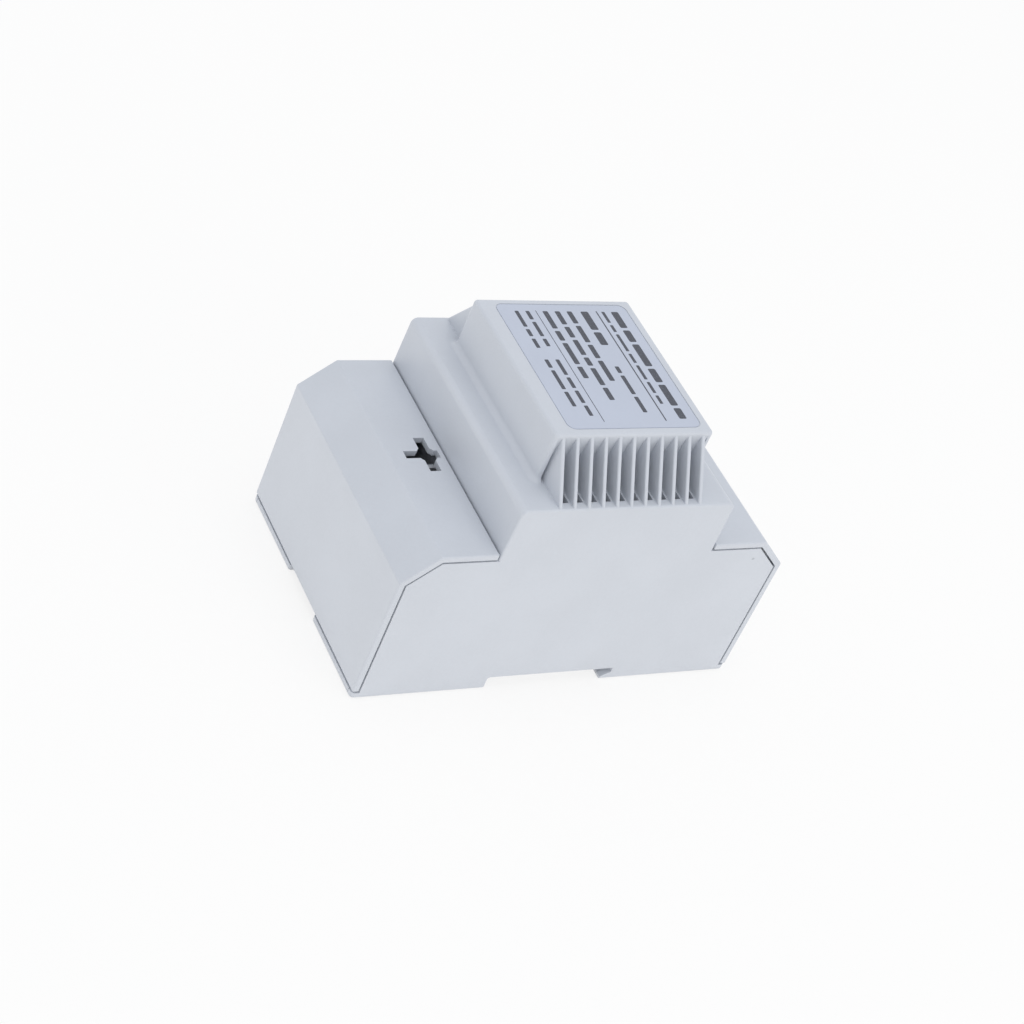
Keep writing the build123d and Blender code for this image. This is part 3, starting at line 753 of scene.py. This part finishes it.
@dataclass
class Mouldings:
    """The housing, its terminal covers and the base with its screws and latch."""

    grey: Colour = (0.615, 0.640, 0.685)
    base_shade: float = 0.97
    black: Colour = (0.050, 0.050, 0.055)
    black_clouds: float = 0.08
    zinc: Colour = (0.62, 0.62, 0.60)
    gate_mark: Point = (35.0 * MM, 44.9 * MM, 41.4 * MM)

    def dress(self) -> None:
        """Finish the mouldings and the base's fittings."""
        paint("housing", MouldedPlastic("housing_grey", self.grey, gate_mark=self.gate_mark).material())
        cover = MouldedPlastic("cover_grey", self.grey).material()
        for wing in Wing:
            paint(f"{wing.title}_terminal_cover", cover)
        paint("base", MouldedPlastic("base_grey", shade(self.grey, self.base_shade)).material())
        latch = MouldedPlastic("latch_black", self.black, cloud_depth=self.black_clouds)
        paint("rail_latch", latch.material())
        paint("base_screws", PlatedMetal("screw_zinc", self.zinc).material())


@dataclass
class LatchSpring:
    """The folded strip spring in the latch's window, which rides on the case."""

    half_width: float = 2.2 * MM
    back: float = -42.2 * MM
    length: float = 12.0 * MM
    folds: int = 6
    foot: float = 1.2 * MM
    height: float = 1.6 * MM
    strip: float = 0.5 * MM
    bend: float = 0.35 * MM
    bend_steps: int = 4
    travel: float = 4.0 * MM
    steel: Colour = (0.45, 0.45, 0.46)
    steel_roughness: float = 0.26
    steel_lay: Point = (1.0, 1.0, 20.0)

    def path(self) -> list[Point]:
        """Corners of the strip's middle line from the peg to the latch."""
        pitch = self.length / (self.folds + 1)
        front = self.back + self.length
        turns = [
            (self.half_width * (-1) ** fold, self.back + pitch * (fold + HALF), self.foot)
            for fold in range(1, self.folds)
        ]
        return [
            (-self.half_width, self.back, self.foot),
            (self.half_width, self.back, self.foot),
            *turns,
            (-self.half_width, front, self.foot),
            (self.half_width, front, self.foot),
        ]

    def build(self) -> bpy.types.Object:
        """Fold the strip and thicken it, and put it in place of the model's own spring.

        Returns:
            The spring's object.
        """
        mesh = bmesh.new()
        corners = [mesh.verts.new(point) for point in self.path()]
        line = [mesh.edges.new(pair) for pair in zip(corners, corners[1:])]
        raised = bmesh.ops.extrude_edge_only(mesh, edges=line)["geom"]
        lifted = [item for item in raised if isinstance(item, bmesh.types.BMVert)]
        bmesh.ops.translate(mesh, verts=lifted, vec=(0.0, 0.0, self.height))
        upright = [edge for edge in mesh.edges if len(edge.link_faces) == 2]
        round_off(mesh, upright, self.bend, "EDGES", self.bend_steps)
        bmesh.ops.recalc_face_normals(mesh, faces=mesh.faces)
        mesh.normal_update()
        for vert in mesh.verts:
            vert.co -= vert.normal * (self.strip / 2)
        bmesh.ops.solidify(mesh, geom=mesh.faces[:], thickness=self.strip)
        steel = PlatedMetal("spring_strip", self.steel, self.steel_roughness, along=self.steel_lay)
        piece = make_piece("latch_spring_strip", mesh, steel.material(), True)
        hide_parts("latch_spring")
        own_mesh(piece)
        return piece


@dataclass
class CoreAndCoil:
    """The lamination pack and the wound bobbin inside the housing."""

    tape: Colour = (0.72, 0.47, 0.05)
    nylon: Colour = (0.035, 0.035, 0.038)
    nylon_roughness: float = 0.5
    nylon_clouds: float = 0.15
    tin: Colour = (0.70, 0.68, 0.62)
    tin_roughness: float = 0.24

    def dress(self) -> None:
        """Finish the laminations, bobbin, windings and wraps."""
        stack = StackedSheet("lamination_edges").material()
        for node in ("e_laminations", "i_laminations"):
            paint(node, stack)
        nylon = MouldedPlastic(
            "bobbin_nylon", self.nylon, roughness=self.nylon_roughness, cloud_depth=self.nylon_clouds
        )
        paint("bobbin", nylon.material())
        paint("bobbin_pins", PlatedMetal("pin_tin", self.tin, self.tin_roughness).material())
        turns = WoundWire("winding_copper").material()
        wrap = WindingTape("winding_tape", self.tape).material()
        for wing in Wing:
            paint(f"{wing.title}_winding", turns)
            paint(f"{wing.title}_wrap", wrap)


@dataclass
class TerminalRow:
    """The four clamp terminals, with solder where each lead meets its contact bar."""

    reach: float = 17.95 * MM
    joint_y: float = 35.7 * MM
    bar_foot: float = 27.0 * MM
    bar_head: float = 28.2 * MM
    lead_radius: float = 0.9 * MM
    solder_radius: float = 1.55 * MM
    solder_crown: float = 0.65 * MM
    solder_collar: float = 1.1 * MM
    crown_profile: tuple[Span, ...] = ((0.0, 1.0), (0.6, 0.92), (1.15, 0.5))
    collar_profile: tuple[Span, ...] = ((1.25, 0.35), (1.06, 1.0))
    seam: float = 0.002 * MM
    steps: int = 24
    nylon: Colour = (0.30, 0.31, 0.32)
    nylon_clouds: float = 0.05
    zinc: Colour = (0.64, 0.64, 0.61)
    zinc_roughness: float = 0.27
    zinc_lay: Point = (6.0, 6.0, 1.0)
    tin: Colour = (0.70, 0.67, 0.58)
    tin_lay: Point = (1.0, 14.0, 1.0)

    def dress(self) -> None:
        """Finish the terminals and their leads, and add the solder."""
        body = MouldedPlastic("terminal_nylon", self.nylon, cloud_depth=self.nylon_clouds).material()
        zinc = PlatedMetal("clamp_zinc", self.zinc, self.zinc_roughness, along=self.zinc_lay).material()
        tin = PlatedMetal("bar_tin", self.tin, along=self.tin_lay).material()
        solder = Solder("solder").material()
        sleeves = {sleeve: LeadSleeve(sleeve.title, sleeve.value).material() for sleeve in Sleeve}
        for pole in Pole:
            _, _, sleeve = pole.value
            paint(f"{pole.title}_terminal", body)
            paint(f"{pole.title}_cage", zinc)
            paint(f"{pole.title}_screw", zinc)
            paint(f"{pole.title}_contact_bar", tin)
            paint(f"{pole.title}_lead", sleeves[sleeve])
            self.solder(pole, solder)

    def solder(self, pole: Pole, material: bpy.types.Material) -> bpy.types.Object:
        """Add the crown of solder over a contact bar and the collar under it.

        Args:
            pole: The terminal.
            material: The solder's finish.

        Returns:
            The solder's object.
        """
        wing, along, _ = pole.value
        crown = [
            (self.lead_radius * out, self.bar_head + self.solder_crown * up)
            for out, up in self.crown_profile
        ]
        collar = [
            (self.lead_radius * out, self.bar_foot - self.solder_collar * down)
            for out, down in self.collar_profile
        ]
        crown.append((self.solder_radius, self.bar_head))
        collar.insert(0, (self.solder_radius, self.bar_foot))
        mesh = bmesh.new()
        for profile in (crown, collar):
            points = [mesh.verts.new((radius, 0.0, height)) for radius, height in profile]
            edges = [mesh.edges.new(pair) for pair in zip(points, points[1:])]
            bmesh.ops.spin(
                mesh,
                geom=points + edges,
                axis=(0.0, 0.0, 1.0),
                cent=(0.0, 0.0, 0.0),
                angle=FULL_TURN,
                steps=self.steps,
                use_merge=True,
            )
        bmesh.ops.remove_doubles(mesh, verts=mesh.verts, dist=self.seam)
        rims = [edge for edge in mesh.edges if edge.is_boundary]
        bmesh.ops.holes_fill(mesh, edges=rims, sides=0)
        place = (along * self.reach, wing.value * self.joint_y, 0.0)
        bmesh.ops.translate(mesh, verts=mesh.verts, vec=place)
        return make_piece(f"{pole.title}_solder", mesh, material, True)


@dataclass(frozen=True)
class Bar:
    """One printed bar on the label, by its middle and its sides along and across the rail."""

    along: float
    across: float
    length: float
    width: float


@dataclass(frozen=True)
class PrintLine:
    """One line of print, as plain bars in place of its words, in millimetres from the label's middle."""

    across: float
    width: float
    start: float
    words: tuple[float, ...]

    def bars(self, centre: float, gap: float) -> list[Bar]:
        """Set the line's words one after another.

        Args:
            centre: Where the label's middle is across the rail.
            gap: The space between two words.

        Returns:
            The line's bars.
        """
        across = centre + self.across * MM
        along = self.start * MM
        set_words = []
        for word in self.words:
            length = word * MM
            set_words.append(Bar(along + length / 2, across, length, self.width * MM))
            along += length + gap
        return set_words


@dataclass
class RatingLabel:
    """The label film on the crown, with plain bars of print."""

    centre: float = 1.1 * MM
    half_along: float = 22.7 * MM
    face: float = 75.35 * MM
    ink_height: float = 0.015 * MM
    ink_round: float = 0.18
    ink_steps: int = 3
    film: Colour = (0.525, 0.565, 0.660)
    ink: Colour = (0.060, 0.066, 0.085)
    margin: float = 2.3 * MM
    word_gap: float = 0.95 * MM
    heading: tuple[PrintLine, ...] = (
        PrintLine(14.9, 2.1, -20.2, (6.2, 4.4, 8.2, 5.0, 7.6, 3.8)),
        PrintLine(11.5, 0.9, -20.2, (4.2, 2.6, 6.4, 3.4, 5.2, 4.0, 3.0)),
        PrintLine(5.9, 2.2, -20.2, (7.0, 4.8)),
    )
    lines: tuple[PrintLine, ...] = (
        PrintLine(5.2, 1.2, 0.6, (2.4, 6.8, 5.6)),
        PrintLine(1.5, 1.5, -20.2, (4.6, 6.2, 5.0, 7.4)),
        PrintLine(-2.0, 1.5, -20.2, (5.0, 4.0, 5.6, 3.0, 6.2, 4.4)),
        PrintLine(-5.5, 1.5, -20.2, (6.6, 3.6, 7.8, 4.2)),
        PrintLine(-10.6, 1.1, -20.2, (3.2, 5.4, 2.8)),
        PrintLine(-10.6, 1.1, -2.0, (5.6, 3.8, 4.4, 3.6)),
        PrintLine(-13.7, 1.1, -20.2, (6.0, 2.6, 3.4)),
        PrintLine(-13.7, 1.1, -2.0, (3.0, 6.8, 5.2)),
    )
    rules: tuple[tuple[float, float], ...] = ((9.6, 0.35), (-8.1, 0.2))

    def dress(self) -> None:
        """Finish the film and print on it."""
        paint("rating_label", SatinFoil("label_film", self.film).material())
        ink = PrintInk("label_ink", self.ink).material()
        self.print_bars("label_heading", [*self.words(self.heading), *self.ruled()], ink)
        self.print_bars("label_lines", self.words(self.lines), ink)

    def words(self, lines: Iterable[PrintLine]) -> list[Bar]:
        """Bars of several lines of print.

        Args:
            lines: The lines.

        Returns:
            Their bars.
        """
        return [bar for line in lines for bar in line.bars(self.centre, self.word_gap)]

    def ruled(self) -> list[Bar]:
        """Thin rules from margin to margin."""
        span = 2 * (self.half_along - self.margin)
        return [Bar(0.0, self.centre + across * MM, span, width * MM) for across, width in self.rules]

    def print_bars(self, name: str, bars: Iterable[Bar], ink: bpy.types.Material) -> bpy.types.Object:
        """Lay a set of bars on the film as one print.

        Args:
            name: The print's name.
            bars: The bars.
            ink: The ink's finish.

        Returns:
            The print's object.
        """
        mesh = bmesh.new()
        for bar in bars:
            place = Matrix.Translation((bar.along, bar.across, self.face))
            fitted = place @ Matrix.Diagonal((bar.length, bar.width, 1.0, 1.0))
            made = bmesh.ops.create_grid(mesh, x_segments=1, y_segments=1, size=HALF, matrix=fitted)
            radius = self.ink_round * min(bar.length, bar.width)
            round_off(mesh, made["verts"], radius, "VERTICES", self.ink_steps)
        raised = bmesh.ops.extrude_face_region(mesh, geom=mesh.faces[:])["geom"]
        tops = [item for item in raised if isinstance(item, bmesh.types.BMVert)]
        bmesh.ops.translate(mesh, verts=tops, vec=(0.0, 0.0, self.ink_height))
        return make_piece(name, mesh, ink)


@dataclass(frozen=True)
class SoftLamp:
    """A soft panel that faces a point of the set."""

    name: str
    place: Point
    aim: Point
    sides: Span
    power: float
    colour: Colour = WHITE

    def hang(self) -> None:
        """Hang the lamp and turn it to its aim."""
        data = bpy.data.lights.new(self.name, "AREA")
        data.shape = "RECTANGLE"
        data.size, data.size_y = self.sides
        data.energy = self.power
        data.color = self.colour
        lamp = bpy.data.objects.new(self.name, data)
        lamp.location = self.place
        ahead = Vector(self.aim) - Vector(self.place)
        lamp.rotation_euler = ahead.to_track_quat("-Z", "Y").to_euler()
        lamp.visible_camera = False
        bpy.context.scene.collection.objects.link(lamp)
        log.info("hung %s", self.name)


@dataclass
class Studio:
    """A white table under an even sky, with soft lamps above, beside and in the table, and the camera.

    The floor lies a little under the feet, which leaves room there for the two lamps in the table.
    """

    sky: Colour = (0.940, 0.970, 1.020)
    sky_strength: float = 0.82
    floor: Colour = (0.985, 0.965, 0.930)
    floor_glow: float = 0.8
    floor_roughness: float = 0.9
    floor_half: float = 3.0
    floor_drop: float = 0.25 * MM
    lamps: tuple[SoftLamp, ...] = (
        SoftLamp("overhead_lamp", place=(0.1, 0.0, 1.2), aim=(0.0, 0.0, 0.0), sides=(0.9, 0.9), power=2.0),
        SoftLamp(
            "side_lamp",
            place=(1.0, 0.45, 0.42),
            aim=(0.0, 0.0, 0.03),
            sides=(0.7, 0.7),
            power=1.2,
            colour=WARM,
        ),
        SoftLamp(
            "table_lamp",
            place=(0.0, 0.0, -0.2 * MM),
            aim=(0.0, 0.0, 1.0),
            sides=(0.7, 0.7),
            power=0.28,
            colour=WARM,
        ),
        SoftLamp(
            "foot_lamp",
            place=(0.0, 0.0, -0.2 * MM),
            aim=(0.0, 0.0, 1.0),
            sides=(66.0 * MM, 106.0 * MM),
            power=0.022,
        ),
    )
    camera_place: Point = (377.348 * MM, -324.312 * MM, 401.198 * MM)
    camera_aim: Point = (11.4435 * MM, -13.4532 * MM, 37.7 * MM)
    camera_roll: float = math.radians(25.02)
    focal_pixels: float = 2455.785
    image_pixels: float = 1024.0
    sensor: float = 36.0
    near: float = 0.02
    far: float = 20.0

    def build(self) -> None:
        """Set up the floor, the light and the camera."""
        bpy.context.scene.view_settings.view_transform = "Standard"
        self.make_sky()
        self.make_floor()
        for lamp in self.lamps:
            lamp.hang()
        self.make_camera()

    def make_sky(self) -> None:
        """Light the scene evenly from all round, before a white backdrop."""
        world = bpy.data.worlds.new("sky")
        world.use_nodes = True
        graph = NodeGraph(world.node_tree)
        even = {"Color": (*self.sky, 1.0), "Strength": self.sky_strength}
        lit = graph.node("ShaderNodeBackground", None, even)
        seen = graph.node("ShaderNodeBackground", None, {"Color": (*WHITE, 1.0), "Strength": 1.0})
        shares = {0: graph.backdrop_rays(), 1: lit.outputs[0], 2: seen.outputs[0]}
        mixed = graph.node("ShaderNodeMixShader", None, shares)
        graph.node("ShaderNodeOutputWorld", None, {"Surface": mixed.outputs[0]})
        bpy.context.scene.world = world

    def make_floor(self) -> None:
        """Lay the white floor, which keeps the object's shadow and is clear from below."""
        mesh = bmesh.new()
        bmesh.ops.create_grid(mesh, x_segments=2, y_segments=2, size=self.floor_half)
        bmesh.ops.translate(mesh, verts=mesh.verts, vec=(0.0, 0.0, -self.floor_drop))
        data = bpy.data.meshes.new("floor")
        mesh.to_mesh(data)
        mesh.free()
        tree = ShaderTree("floor_white")
        tree.dress(base_color=(*self.floor, 1.0), roughness=self.floor_roughness, specular_ior_level=0.0)
        glow = tree.node("ShaderNodeEmission", None, {"Color": (*WHITE, 1.0), "Strength": 1.0})
        share = tree.backdrop_rays() * self.floor_glow
        pale = {0: share, 1: tree.surface.outputs[0], 2: glow.outputs[0]}
        seen = tree.node("ShaderNodeMixShader", None, pale)
        below = tree.node("ShaderNodeNewGeometry").outputs["Backfacing"]
        clear = tree.node("ShaderNodeBsdfTransparent")
        sides = {0: below, 1: seen.outputs[0], 2: clear.outputs[0]}
        mixed = tree.node("ShaderNodeMixShader", None, sides)
        tree.feed(tree.output.inputs["Surface"], mixed.outputs[0])
        data.materials.append(tree.material)
        floor = bpy.data.objects.new("floor", data)
        bpy.context.scene.collection.objects.link(floor)

    def make_camera(self) -> None:
        """Stand the camera where the photograph was taken from, tilted as it was held."""
        data = bpy.data.cameras.new("camera")
        data.sensor_width = self.sensor
        data.lens = self.focal_pixels / self.image_pixels * self.sensor
        data.clip_start = self.near
        data.clip_end = self.far
        camera = bpy.data.objects.new("camera", data)
        ahead = Vector(self.camera_aim) - Vector(self.camera_place)
        level = ahead.to_track_quat("-Z", "Y")
        camera.location = self.camera_place
        camera.rotation_euler = (level @ Quaternion((0.0, 0.0, 1.0), self.camera_roll)).to_euler()
        bpy.context.scene.collection.objects.link(camera)
        bpy.context.scene.camera = camera


def main() -> None:
    """Dress the model piece by piece and set up the studio."""
    logging.basicConfig(level=logging.INFO, format="%(message)s")
    Mouldings().dress()
    LatchSpring().build()
    CoreAndCoil().dress()
    TerminalRow().dress()
    RatingLabel().dress()
    Studio().build()


if __name__ == "__main__":
    main()
